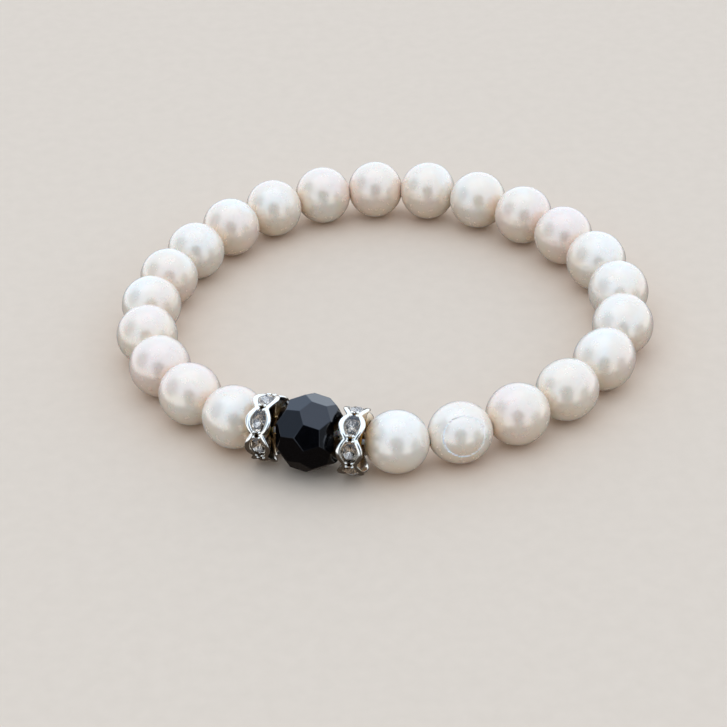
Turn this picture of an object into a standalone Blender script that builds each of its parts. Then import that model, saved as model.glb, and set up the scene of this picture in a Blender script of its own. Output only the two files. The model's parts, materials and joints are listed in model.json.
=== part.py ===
"""Pearl bracelet: round pearls, one faceted black bead and two crystal rondelles on a hidden elastic.

Metres, +Z up. The bracelet lies flat as a closed loop, with the black bead at the front, towards -Y,
and a rondelle on each side of it. The origin is under the middle of the loop, where it rests.
Every bead is drilled from end to end, and the elastic runs through all the holes as one ring.
"""
import math
from dataclasses import dataclass

import bmesh
import bpy
from mathutils import Matrix, Vector

# Pearls
PEARL_DIAMETER = 0.0079
PEARL_SIDES = 16
PEARL_BANDS = 10

# Drill hole of every bead, the elastic in it, and the play between one bead and the next. A rondelle
# leans back towards the flat end of the black bead, by a share of the string's own bend there. Next to
# the rondelles the string bends more than it does round the rest of the loop, by FRONT_CURL.
HOLE_DIAMETER = 0.0013
HOLE_SIDES = 12
CORD_DIAMETER = 0.0007
BEAD_GAP = 0.0001
RONDELLE_LEAN = 0.4
FRONT_CURL = 1.7

# Black bead: a football cut, with its two drilled ends ground flat. Its hole has play on the elastic,
# so it sits a little askew: turned as seen from above, and with its right end up.
BLACK_BEAD_DIAMETER = 0.0097
BLACK_BEAD_LENGTH = 0.0072
BLACK_BEAD_TURN = math.radians(3.6)
BLACK_BEAD_SKEW = math.radians(6.4)
BLACK_BEAD_RISE = math.radians(3.6)
HEXAGON_SHARE = 0.915
PENTAGON_SHARE = 0.935

# Rondelles: a hub, two dished sides whose wavy rims open round each crystal, and bridges between them
RONDELLE_DIAMETER = 0.0082
RONDELLE_THICKNESS = 0.0033
RONDELLE_PINCH_THICKNESS = 0.0016
RONDELLE_PINCH_DEPTH = 0.00015
HUB_DIAMETER = 0.0029
HUB_THICKNESS = 0.0020
RIM_WALL = 0.0003
RIM_CHAMFER = 0.0002
BRIDGE_WIDTH = 0.0005
WINDOW_DEPTH_SHARE = 0.4
WINDOW_FLOOR_SHARE = 0.97
RIGHT_TURN = math.radians(0)
LEFT_TURN = math.radians(19)
STEPS_PER_CRYSTAL = 8

# Crystals: oval cut stones with a table, longest round the rondelle, set with their points inwards
CRYSTAL_COUNT = 7
CRYSTAL_LENGTH = 0.0028
CRYSTAL_WIDTH = 0.0022
CRYSTAL_TABLE_WIDTH = 0.0012
CRYSTAL_CROWN_HEIGHT = 0.00035
CRYSTAL_GIRDLE_HEIGHT = 0.0001
CRYSTAL_PAVILION_HEIGHT = 0.0009
CRYSTAL_SINK = 0.0001
CRYSTAL_FACETS = 8
CRYSTAL_GAP = 0.0001

# The pearls in order, anticlockwise seen from above, from the right rondelle round to the left one:
# length along the drill hole and width across it, as shares of PEARL_DIAMETER
PEARLS = (
    (0.98, 0.99),
    (1.00, 0.97),
    (1.00, 0.98),
    (1.02, 0.985),
    (1.07, 0.99),
    (1.06, 1.00),
    (1.035, 1.00),
    (1.02, 1.01),
    (1.00, 1.00),
    (0.985, 1.01),
    (0.97, 1.00),
    (0.955, 1.01),
    (0.95, 0.995),
    (0.96, 1.00),
    (0.965, 1.00),
    (0.955, 1.01),
    (0.94, 0.99),
    (0.91, 0.99),
    (0.92, 1.00),
    (0.96, 1.01),
    (0.98, 1.00),
    (0.99, 1.00),
    (1.005, 1.00),
)

# How the loop lies out of round: number of swells, their height as a share of its radius, and the
# direction of the first one in degrees from +X
LOOP_SWELLS = (
    (2, 0.0066, -47.0),
    (3, 0.0170, -23.4),
    (4, 0.0120, -2.2),
    (5, 0.0053, -21.6),
)
BLACK_BEAD_DIRECTION = math.radians(-108.7)


@dataclass
class Bead:
    """One piece on the string: its object and how far it reaches each way from its centre."""

    thing: bpy.types.Object
    reach_before: float
    reach_after: float
    turn: float
    half_width: float


def clear_scene():
    for old in list(bpy.data.objects):
        bpy.data.objects.remove(old, do_unlink=True)


def new_collection(name):
    collection = bpy.data.collections.new(name)
    bpy.context.scene.collection.children.link(collection)
    return collection


def new_material(name, colour, roughness, metallic=0.0):
    material = bpy.data.materials.new(name)
    material.use_nodes = True
    shader = material.node_tree.nodes["Principled BSDF"]
    shader.inputs["Base Color"].default_value = (*colour, 1.0)
    shader.inputs["Roughness"].default_value = roughness
    shader.inputs["Metallic"].default_value = metallic
    material.diffuse_color = (*colour, 1.0)
    return material


def add_object(name, bm, collection, material):
    """Make an object of a bmesh, with its faces pointing out."""
    bmesh.ops.recalc_face_normals(bm, faces=bm.faces)
    mesh = bpy.data.meshes.new(name)
    bm.to_mesh(mesh)
    bm.free()
    thing = bpy.data.objects.new(name, mesh)
    collection.objects.link(thing)
    if material:
        mesh.materials.append(material)
        mesh.shade_smooth()
        mesh.set_sharp_from_angle(angle=math.radians(30))
    return thing


def cut(thing, cutter):
    """Take the cutter's shape out of an object, which then carries the cutter with it."""
    cutter.parent = thing
    cutter.hide_render = True
    cutter.display_type = "WIRE"
    boolean = thing.modifiers.new(cutter.name, "BOOLEAN")
    boolean.operation = "DIFFERENCE"
    boolean.object = cutter


def turned(profile, sides, closed=True):
    """Turn a profile of (radius, height) points round Z into a closed bmesh."""
    bm = bmesh.new()
    verts = [bm.verts.new((radius, 0.0, height)) for radius, height in profile]
    edges = [bm.edges.new(pair) for pair in zip(verts, verts[1:])]
    if closed:
        edges.append(bm.edges.new((verts[-1], verts[0])))
    bmesh.ops.spin(
        bm, geom=verts + edges, cent=(0, 0, 0), axis=(0, 0, 1),
        angle=2 * math.pi, steps=sides, use_merge=True)
    bmesh.ops.remove_doubles(bm, verts=bm.verts, dist=1e-7)
    return bm


def pearl(name, length, width, collection, material):
    """A drilled pearl: a half ellipse from one mouth of the hole to the other, turned round the hole."""
    mouth = math.asin(HOLE_DIAMETER / width)
    profile = []
    for band in range(PEARL_BANDS + 1):
        angle = mouth + (math.pi - 2 * mouth) * band / PEARL_BANDS
        profile.append((width / 2 * math.sin(angle), length / 2 * math.cos(angle)))
    return add_object(name, turned(profile, PEARL_SIDES), collection, material)


def dish_slope():
    """How steeply the dished sides of a rondelle rise from the hub to the crests of the rim."""
    return (RONDELLE_THICKNESS - HUB_THICKNESS) / (RONDELLE_DIAMETER - 2 * RIM_CHAMFER - HUB_DIAMETER)


def dish_height(radius):
    """Half the thickness of a rondelle at a distance from its hole's axis, in line with a crystal."""
    return HUB_THICKNESS / 2 + dish_slope() * (radius - HUB_DIAMETER / 2)


def nested_distance(length, width):
    """From the middle of a rondelle to the middle of a pearl that lies in its dished side."""
    slant = math.cos(math.atan(dish_slope()))
    return dish_height(0.0) + width / 2 / slant + (length - width) / 2


def string_bend(length, next_length):
    """How far the string bends round the loop from one bead's hole to the next one's."""
    front = BLACK_BEAD_LENGTH + 2 * RONDELLE_THICKNESS
    string_length = front + sum(along for along, across in PEARLS) * PEARL_DIAMETER
    return math.pi * (length + next_length) / string_length


def bend_at_rondelle():
    """How far the string bends from the black bead to a rondelle, round the loop and down to a pearl."""
    span = BLACK_BEAD_LENGTH + 2 * RONDELLE_THICKNESS + PEARL_DIAMETER
    down = (BLACK_BEAD_DIAMETER - PEARL_DIAMETER) / span
    return math.hypot(string_bend(BLACK_BEAD_LENGTH, RONDELLE_THICKNESS), down)


def room_at_black_bead(end_radius):
    """The wedge of air between the black bead's flat end and a rondelle that leans away from it."""
    return end_radius * math.tan(math.hypot(bend_at_rondelle() * RONDELLE_LEAN, BLACK_BEAD_SKEW))


def room_at_pearl(width, skew):
    """How far a pearl rides up a rondelle's dished side, because the string bends there.

    The black bead's skew turns the rondelle with it: away from the pearl where it is positive.
    """
    bend = string_bend(RONDELLE_THICKNESS, PEARL_DIAMETER) * FRONT_CURL
    bend += (bend_at_rondelle() + skew) * (1 - RONDELLE_LEAN)
    return width / 2 * math.sin(bend) * dish_slope()


def hole_cutter(name, length, collection):
    bm = bmesh.new()
    bmesh.ops.create_cone(
        bm, cap_ends=True, segments=HOLE_SIDES, radius1=HOLE_DIAMETER / 2,
        radius2=HOLE_DIAMETER / 2, depth=length * 1.2)
    return add_object(name, bm, collection, None)


def grind(bm, normal, distance):
    """Cut a solid flat at a distance from its middle, as on a grinding wheel."""
    geom = list(bm.verts) + list(bm.edges) + list(bm.faces)
    made = bmesh.ops.bisect_plane(
        bm, geom=geom, plane_co=normal * distance, plane_no=normal, clear_outer=True, dist=1e-7)
    rim = [item for item in made["geom_cut"] if isinstance(item, bmesh.types.BMEdge)]
    bmesh.ops.contextual_create(bm, geom=rim)


def black_bead(name, collection, cutters, material):
    """An icosahedron with its corners ground off, drilled through two opposite hexagons.

    Its hole runs along Z, and of the three pentagons nearest its upper end one faces +X.
    """
    hexagon_distance = BLACK_BEAD_DIAMETER / 2 * HEXAGON_SHARE
    pentagon_distance = BLACK_BEAD_DIAMETER / 2 * PENTAGON_SHARE
    golden = (1 + math.sqrt(5)) / 2
    inradius_share = golden ** 2 / math.sqrt(3) / math.sqrt(golden * math.sqrt(5))
    bm = bmesh.new()
    bmesh.ops.create_icosphere(bm, subdivisions=1, radius=hexagon_distance / inradius_share)
    bm.faces.ensure_lookup_table()
    bmesh.ops.rotate(
        bm, verts=bm.verts,
        matrix=bm.faces[0].normal.rotation_difference(Vector((0, 0, 1))).to_matrix())
    corners = [vert.co.normalized() for vert in bm.verts]
    first = max(corners, key=lambda corner: (round(corner.z, 3), corner.x))
    straighten = Matrix.Rotation(-math.atan2(first.y, first.x), 3, "Z")
    bmesh.ops.rotate(bm, verts=bm.verts, matrix=straighten)
    for corner in corners:
        grind(bm, straighten @ corner, pentagon_distance)
    for end in (1, -1):
        grind(bm, Vector((0, 0, end)), BLACK_BEAD_LENGTH / 2)
    bmesh.ops.dissolve_limit(bm, angle_limit=math.radians(1), verts=bm.verts, edges=bm.edges)
    thing = add_object(name, bm, collection, material)
    thing.data.shade_flat()
    cut(thing, hole_cutter(name + "_hole", BLACK_BEAD_LENGTH, cutters))
    return thing


def rim_half_thickness(angle):
    """Half the thickness over the wavy rims, at an angle from the middle of a crystal."""
    opening = 0.5 + 0.5 * math.cos(CRYSTAL_COUNT * angle)
    return (RONDELLE_PINCH_THICKNESS + (RONDELLE_THICKNESS - RONDELLE_PINCH_THICKNESS) * opening) / 2


def girdle_radius():
    """Distance from the hole's axis to the widest part of a crystal."""
    return RONDELLE_DIAMETER / 2 - CRYSTAL_SINK - CRYSTAL_CROWN_HEIGHT


def window_cutter(name, collection):
    """The eye-shaped opening between the rims that shows one crystal, with the hollow for its point.

    It opens along +X. Its floor tapers to a point just under the crystal's own.
    """
    reach = math.pi / CRYSTAL_COUNT - BRIDGE_WIDTH / RONDELLE_DIAMETER
    floor = girdle_radius() - CRYSTAL_PAVILION_HEIGHT * WINDOW_DEPTH_SHARE
    growth = RONDELLE_DIAMETER / 2 * 1.1 / floor
    steps = STEPS_PER_CRYSTAL - 2
    angles = [reach * (2 * step / steps - 1) for step in range(steps + 1)]
    upper = [(angle, rim_half_thickness(angle) - RIM_WALL) for angle in angles]
    outline = upper + [(angle, -height) for angle, height in reversed(upper)]
    bm = bmesh.new()
    corners = [(floor, floor * math.tan(angle), height) for angle, height in outline]
    face = bm.faces.new([bm.verts.new(corner) for corner in corners])
    grown = bmesh.ops.extrude_face_region(bm, geom=[face])
    outer = [item for item in grown["geom"] if isinstance(item, bmesh.types.BMVert)]
    bmesh.ops.scale(bm, verts=outer, vec=(growth, growth, 1.0))
    bmesh.ops.scale(bm, verts=face.verts, vec=(1.0, 1.0, WINDOW_FLOOR_SHARE))
    tip = girdle_radius() - CRYSTAL_GIRDLE_HEIGHT / 2 - CRYSTAL_PAVILION_HEIGHT - CRYSTAL_GAP
    poked = bmesh.ops.poke(bm, faces=[face])
    poked["verts"][0].co = (tip, 0, 0)
    return add_object(name, bm, collection, None)


def rondelle(name, collection, cutters, material):
    """The metal of a rondelle, with its hole along Z and the first bridge between crystals along +X."""
    outer = RONDELLE_DIAMETER / 2
    crest = RONDELLE_THICKNESS / 2
    upper = [
        (HOLE_DIAMETER / 2, HUB_THICKNESS / 2),
        (HUB_DIAMETER / 2, HUB_THICKNESS / 2),
        (outer - RIM_CHAMFER, crest),
        (outer, crest - RIM_CHAMFER),
    ]
    lower = [(radius, -height) for radius, height in reversed(upper)]
    pitch = 2 * math.pi / CRYSTAL_COUNT
    bm = turned(upper + lower, CRYSTAL_COUNT * STEPS_PER_CRYSTAL)
    for vert in bm.verts:
        radius = vert.co.xy.length
        if radius > HUB_DIAMETER * 0.51:
            opening = rim_half_thickness(math.atan2(vert.co.y, vert.co.x) - pitch / 2) / crest
            vert.co.z *= opening
            vert.co.xy *= 1 - (1 - opening) * RONDELLE_PINCH_DEPTH / outer
    thing = add_object(name, bm, collection, material)
    for index in range(CRYSTAL_COUNT):
        window = window_cutter(f"{name}_window_{index + 1}", cutters)
        window.matrix_world = Matrix.Rotation(pitch * (index + 0.5), 4, "Z")
        cut(thing, window)
    return thing


def crystals(name, setting, collection, material):
    """The cut stones of a rondelle, each with its table outwards, parented to the setting."""
    half_girdle = CRYSTAL_GIRDLE_HEIGHT / 2
    profile = [
        (0.0, half_girdle + CRYSTAL_CROWN_HEIGHT),
        (CRYSTAL_TABLE_WIDTH / 2, half_girdle + CRYSTAL_CROWN_HEIGHT),
        (CRYSTAL_WIDTH / 2, half_girdle),
        (CRYSTAL_WIDTH / 2, -half_girdle),
        (0.0, -half_girdle - CRYSTAL_PAVILION_HEIGHT),
    ]
    for index in range(CRYSTAL_COUNT):
        angle = 2 * math.pi * (index + 0.5) / CRYSTAL_COUNT
        bm = turned(profile, CRYSTAL_FACETS, closed=False)
        bmesh.ops.scale(bm, verts=bm.verts, vec=(1.0, CRYSTAL_LENGTH / CRYSTAL_WIDTH, 1.0))
        bmesh.ops.dissolve_limit(bm, angle_limit=math.radians(1), verts=bm.verts, edges=bm.edges)
        stone = add_object(f"{name}_{index + 1}", bm, collection, material)
        stone.data.shade_flat()
        stone.parent = setting
        stone.matrix_basis = (
            Matrix.Rotation(angle, 4, "Z") @ Matrix.Translation((girdle_radius(), 0, 0))
            @ Matrix.Rotation(math.pi / 2, 4, "Y"))


def route_point(radius, angle):
    """A point of the loop's line, seen from above."""
    share = 1.0
    for count, height, direction in LOOP_SWELLS:
        share += height * math.cos(count * (angle - math.radians(direction)))
    return Vector((radius * share * math.cos(angle), radius * share * math.sin(angle)))


def next_angle(radius, angle, chord):
    """Where the line has run a straight distance on from an angle."""
    start = route_point(radius, angle)
    near, far = angle, angle + 2 * chord / radius
    for _ in range(30):
        middle = (near + far) / 2
        if (route_point(radius, middle) - start).length < chord:
            near = middle
        else:
            far = middle
    return near


def joints_along(radius, start, chords):
    """The angles where one bead meets the next, from a first one on."""
    angles = [start]
    for chord in chords:
        angles.append(next_angle(radius, angles[-1], chord))
    return angles


def closed_loop(beads):
    """The loop's radius at which the string closes, and the points where bead meets bead."""
    chords = [bead.reach_before + bead.reach_after for bead in beads]
    small = sum(chords) / (2 * math.pi) * 0.95
    large = sum(chords) / (2 * math.pi) * 1.05
    for _ in range(30):
        radius = (small + large) / 2
        start = BLACK_BEAD_DIRECTION - chords[0] / 2 / radius
        angles = joints_along(radius, start, chords)
        if angles[-1] - start > 2 * math.pi:
            small = radius
        else:
            large = radius
    return [route_point(radius, angle) for angle in angles[:-1]]


def upright(axis):
    """A turn that takes Z to the axis and X as near to straight up as that leaves it."""
    up = (Vector((0, 0, 1)) - axis * axis.z).normalized()
    side = axis.cross(up)
    return Matrix((up, side, axis)).transposed()


def askew(axis):
    """The black bead's hole axis, off the line of the string by its skew and rise."""
    level = Matrix.Rotation(BLACK_BEAD_SKEW, 3, "Z") @ axis
    return (level + Vector((0, 0, math.tan(BLACK_BEAD_RISE)))).normalized()


def resting_height(bead, turn):
    """How high a bead's middle lies over the surface that its lowest point touches."""
    if bead.half_width:
        return bead.half_width
    return -min((turn @ vert.co).z for vert in bead.thing.data.vertices)


def string_up(beads):
    """Lay the beads out on the loop and give the elastic's points through their holes."""
    joints = closed_loop(beads)
    count = len(beads)
    heights = []
    for index, bead in enumerate(beads):
        along = joints[(index + 1) % count] - joints[index]
        axis = Vector((along.x, along.y, 0.0)).normalized()
        if not index:
            axis = askew(axis)
        heights.append(resting_height(bead, upright(axis) @ Matrix.Rotation(bead.turn, 3, "Z")))
    for index in (1, count - 1):
        level = (heights[index - 1] + heights[(index + 1) % count]) / 2
        heights[index] = max(heights[index], level)
    meetings = []
    for index, bead in enumerate(beads):
        before = beads[index - 1]
        share = before.reach_after / (before.reach_after + bead.reach_before)
        height = heights[index - 1] + (heights[index] - heights[index - 1]) * share
        meetings.append(Vector((*joints[index], height)))
    axes = [(meetings[(index + 1) % count] - meetings[index]).normalized() for index in range(count)]
    axes[0] = askew(Vector((axes[0].x, axes[0].y, 0.0)).normalized())
    level = Vector((axes[0].x, axes[0].y, 0.0)).normalized()
    for index in (1, count - 1):
        axes[index] = level.lerp(axes[index], RONDELLE_LEAN).normalized()
    route = []
    for index, bead in enumerate(beads):
        chord = meetings[(index + 1) % count] - meetings[index]
        centre = meetings[index] + chord.normalized() * bead.reach_before
        centre.z = heights[index]
        turn = upright(axes[index]) @ Matrix.Rotation(bead.turn, 3, "Z")
        bead.thing.matrix_world = Matrix.Translation(centre) @ turn.to_4x4()
        if index == 0:
            half = axes[0] * bead.reach_before
            route += [centre - half, centre, centre + half]
        elif index == 1:
            route.append(centre)
        else:
            route += [meetings[index], centre]
    return route


def elastic(name, route, collection, material):
    """The thread, a closed ring through every hole."""
    curve = bpy.data.curves.new(name, "CURVE")
    curve.dimensions = "3D"
    curve.bevel_depth = CORD_DIAMETER / 2
    curve.bevel_resolution = 2
    spline = curve.splines.new("POLY")
    spline.points.add(len(route) - 1)
    for point, place in zip(spline.points, route):
        point.co = (*place, 1.0)
    spline.use_cyclic_u = True
    curve.materials.append(material)
    thing = bpy.data.objects.new(name, curve)
    collection.objects.link(thing)
    return thing


def centre_on_origin(pieces):
    """Move the whole bracelet so that the middle of its underside is at the origin."""
    bpy.context.view_layer.update()
    meshes = [piece for piece in pieces if piece.type == "MESH"]
    points = [piece.matrix_world @ vert.co for piece in meshes for vert in piece.data.vertices]
    low = Vector([min(point[axis] for point in points) for axis in range(3)])
    high = Vector([max(point[axis] for point in points) for axis in range(3)])
    offset = Vector(((low.x + high.x) / 2, (low.y + high.y) / 2, low.z))
    for piece in pieces:
        if not piece.parent:
            piece.location -= offset


def main():
    clear_scene()
    bracelet = new_collection("pearl_bracelet")
    cutters = new_collection("cutters")
    nacre = new_material("pearl nacre", (0.86, 0.80, 0.74), 0.28)
    jet = new_material("black glass", (0.012, 0.012, 0.014), 0.08)
    silver = new_material("silver plated brass", (0.80, 0.79, 0.77), 0.18, metallic=1.0)
    glass = new_material("crystal glass", (0.75, 0.78, 0.82), 0.03)
    rubber = new_material("clear elastic", (0.75, 0.75, 0.73), 0.35)

    half_gap = BEAD_GAP / 2
    black = black_bead("black_bead", bracelet, cutters, jet)
    right = rondelle("rondelle_right", bracelet, cutters, silver)
    left = rondelle("rondelle_left", bracelet, cutters, silver)
    crystals("crystal_right", right, bracelet, glass)
    crystals("crystal_left", left, bracelet, glass)

    end_radius = math.sqrt(BLACK_BEAD_DIAMETER ** 2 - BLACK_BEAD_LENGTH ** 2) / 2
    bend_room = room_at_black_bead(end_radius)
    end_reach = (BLACK_BEAD_LENGTH + bend_room) / 2 + half_gap
    dish_reach = dish_height(end_radius) + bend_room / 2 + half_gap
    hub_reach = HUB_THICKNESS / 2 + half_gap
    beads = [
        Bead(black, end_reach, end_reach, BLACK_BEAD_TURN, 0.0),
        Bead(right, dish_reach, hub_reach, RIGHT_TURN, RONDELLE_DIAMETER / 2),
    ]
    for index, (along, across) in enumerate(PEARLS):
        length = along * PEARL_DIAMETER
        width = across * PEARL_DIAMETER
        name = f"pearl_{index + 1:02d}"
        plain = length / 2 + half_gap
        nested = nested_distance(length, width) - HUB_THICKNESS / 2 + half_gap
        before = plain if index else nested + room_at_pearl(width, -BLACK_BEAD_SKEW)
        last = index == len(PEARLS) - 1
        after = nested + room_at_pearl(width, BLACK_BEAD_SKEW) if last else plain
        thing = pearl(name, length, width, bracelet, nacre)
        beads.append(Bead(thing, before, after, 0.0, width / 2))
    beads.append(Bead(left, hub_reach, dish_reach, LEFT_TURN, RONDELLE_DIAMETER / 2))

    route = string_up(beads)
    elastic("elastic_cord", route, bracelet, rubber)
    centre_on_origin(list(bracelet.objects))


main()
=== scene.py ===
"""Pearl bracelet: freshwater pearls, a faceted black glass bead and two wavy crystal rondelles.

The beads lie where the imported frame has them, strung on a hidden elastic. This script gives each one its
finished shape and surface, lays the bracelet on a pale studio floor and lights it softly from above.
Lengths are in metres and angles in radians, except where a description says otherwise.
"""

from __future__ import annotations

import json
import logging
import math
from collections.abc import Callable, Iterable, Sequence
from dataclasses import dataclass, field
from enum import Enum

import bmesh
import bpy
from mathutils import Matrix, Vector

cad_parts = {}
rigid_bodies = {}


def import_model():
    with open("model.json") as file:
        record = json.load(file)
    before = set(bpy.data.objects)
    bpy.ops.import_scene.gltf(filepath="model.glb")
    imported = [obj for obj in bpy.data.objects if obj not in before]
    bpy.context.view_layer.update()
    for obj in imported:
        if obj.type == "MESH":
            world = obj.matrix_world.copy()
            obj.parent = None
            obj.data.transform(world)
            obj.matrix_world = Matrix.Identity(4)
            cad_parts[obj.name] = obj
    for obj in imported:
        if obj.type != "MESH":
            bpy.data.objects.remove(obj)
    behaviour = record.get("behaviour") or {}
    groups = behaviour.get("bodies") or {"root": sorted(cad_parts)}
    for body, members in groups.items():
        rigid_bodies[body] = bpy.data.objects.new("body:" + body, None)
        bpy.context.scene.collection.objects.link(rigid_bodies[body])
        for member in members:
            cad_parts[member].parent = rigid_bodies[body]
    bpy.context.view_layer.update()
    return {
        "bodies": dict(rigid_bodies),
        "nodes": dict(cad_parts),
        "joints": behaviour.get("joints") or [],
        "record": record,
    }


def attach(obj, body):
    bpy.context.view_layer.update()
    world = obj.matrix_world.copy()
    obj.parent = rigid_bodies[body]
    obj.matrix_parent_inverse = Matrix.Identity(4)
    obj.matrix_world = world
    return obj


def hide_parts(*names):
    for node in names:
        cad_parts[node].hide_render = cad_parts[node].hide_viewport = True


log = logging.getLogger("pearl_bracelet")

MM = 0.001
DRILL_HOLE = 1.30 * MM  # the bore of every bead's solid
HALF_FACET = math.pi / 8  # half the turn between two of a crystal's eight facets
Link = tuple[bpy.types.Node, str | int]


class Side(Enum):
    """Which of the two rondelles, as seen from the front."""

    LEFT = "left"
    RIGHT = "right"


def hex_colour(code: str) -> tuple[float, float, float, float]:
    """Turn an sRGB hex value into a linear colour.

    Args:
        code: Six hex digits after a hash.

    Returns:
        Linear red, green and blue, with full alpha.
    """
    channels = []
    for start in (1, 3, 5):
        value = int(code[start:start + 2], 16) / 255
        channels.append(value / 12.92 if value <= 0.04045 else ((value + 0.055) / 1.055) ** 2.4)
    return channels[0], channels[1], channels[2], 1.0


def add_node(
    tree: bpy.types.NodeTree,
    kind: str,
    settings: dict[str, object] | None = None,
    inputs: dict[str | int, object] | None = None,
    links: dict[str | int, Link] | None = None,
) -> bpy.types.Node:
    """Add one shader node with its settings, its socket values and its incoming links.

    Args:
        tree: The node tree that gets the node.
        kind: Blender's type name of the node.
        settings: The node's own properties.
        inputs: Values for its input sockets, by name or place.
        links: For each input socket, the node and the output that feed it.

    Returns:
        The new node.
    """
    node = tree.nodes.new(kind)
    for name, value in (settings or {}).items():
        setattr(node, name, value)
    for socket, value in (inputs or {}).items():
        node.inputs[socket].default_value = value
    for socket, (source, output) in (links or {}).items():
        tree.links.new(source.outputs[output], node.inputs[socket])
    return node


def set_ramp(ramp_node: bpy.types.Node, stops: Sequence[tuple[float, str]]) -> None:
    """Give a colour ramp its stops.

    Args:
        ramp_node: The Color Ramp node.
        stops: A place from 0 to 1 and an sRGB hex value for each stop, in order.
    """
    elements = ramp_node.color_ramp.elements
    while len(elements) < len(stops):
        elements.new(1.0)
    for element, (place, code) in zip(elements, stops):
        element.position = place
        element.color = hex_colour(code)


def new_material(name: str) -> tuple[bpy.types.Material, bpy.types.NodeTree]:
    """Start a node material.

    Args:
        name: The material's name.

    Returns:
        The material and its empty node tree.
    """
    material = bpy.data.materials.new(name)
    material.use_nodes = True
    material.node_tree.nodes.clear()
    return material, material.node_tree


def deselect_all() -> None:
    """Leave object mode with nothing selected."""
    if bpy.context.mode != "OBJECT":
        bpy.ops.object.mode_set(mode="OBJECT")
    bpy.ops.object.select_all(action="DESELECT")


def make_active(piece: bpy.types.Object) -> None:
    """Select one piece alone and make it the active one."""
    deselect_all()
    piece.select_set(True)
    bpy.context.view_layer.objects.active = piece


def start_edit(piece: bpy.types.Object, mode: str = "VERT") -> None:
    """Open a piece in edit mode with nothing selected.

    Args:
        piece: The piece to edit.
        mode: VERT, EDGE or FACE.
    """
    make_active(piece)
    bpy.ops.object.mode_set(mode="EDIT")
    bpy.ops.mesh.select_mode(type=mode)
    bpy.ops.mesh.select_all(action="DESELECT")


def pick_vertices(piece: bpy.types.Object, test: Callable[[Vector], bool]) -> int:
    """Select the vertices of a piece in edit mode whose place passes a test.

    Args:
        piece: The piece that is open in edit mode.
        test: Says whether a vertex at this place is wanted.

    Returns:
        How many vertices are selected.
    """
    bm = bmesh.from_edit_mesh(piece.data)
    count = 0
    for vertex in bm.verts:
        vertex.select_set(test(vertex.co))
        count += vertex.select
    bm.select_flush_mode()
    bmesh.update_edit_mesh(piece.data)
    return count


def pick_faces(piece: bpy.types.Object, test: Callable[[Vector], bool]) -> None:
    """Select more faces of a piece in edit mode by the place of their middle.

    Args:
        piece: The piece that is open in edit mode.
        test: Says whether a face with its middle at this place is wanted.
    """
    bm = bmesh.from_edit_mesh(piece.data)
    for face in bm.faces:
        if test(face.calc_center_median()):
            face.select_set(True)
    bmesh.update_edit_mesh(piece.data)


def apply_modifiers(piece: bpy.types.Object) -> None:
    """Apply every modifier of a piece, in order."""
    make_active(piece)
    for modifier in list(piece.modifiers):
        bpy.ops.object.modifier_apply(modifier=modifier.name)


def settle(piece: bpy.types.Object, place: Matrix) -> None:
    """Put a piece in its place by moving its mesh, and leave its object at the origin.

    Args:
        piece: The piece, whose object is at the origin.
        place: Where its own frame goes.
    """
    piece.data.transform(place)
    piece.data.update()


def copy_piece(model: bpy.types.Object, name: str, place: Matrix) -> bpy.types.Object:
    """Copy a model with its own mesh and put the copy in its place.

    Args:
        model: The piece that is modelled once.
        name: The copy's name.
        place: Where the model's own frame goes.

    Returns:
        The copy.
    """
    piece = bpy.data.objects.new(name, model.data.copy())
    piece.data.name = name
    bpy.context.collection.objects.link(piece)
    settle(piece, place)
    return piece


def remove_model(model: bpy.types.Object) -> None:
    """Delete a model once its copies are made."""
    mesh = model.data
    bpy.data.objects.remove(model)
    bpy.data.meshes.remove(mesh)


def frame_on(axis: Vector, first: Vector, origin: Vector) -> Matrix:
    """Make the frame of a bead: Z along its drill axis, X towards a chosen side.

    Args:
        axis: The drill axis.
        first: The direction that X comes closest to.
        origin: The bead's centre.

    Returns:
        The matrix from the bead's own frame to the bracelet's.
    """
    z = axis.normalized()
    x = (first - z * first.dot(z)).normalized()
    y = z.cross(x)
    frame = Matrix((x, y, z)).transposed().to_4x4()
    frame.translation = origin
    return frame


def node_points(node: bpy.types.Object) -> list[Vector]:
    """List the different corners of a CAD node's mesh, to a tenth of a thousandth of a millimetre."""
    corners = {tuple(round(part, 7) for part in vertex.co) for vertex in node.data.vertices}
    return [Vector(corner) for corner in sorted(corners)]


def middle(points: Iterable[Vector]) -> Vector:
    """Give the mean of some points."""
    points = list(points)
    return sum(points, Vector()) / len(points)


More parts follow.
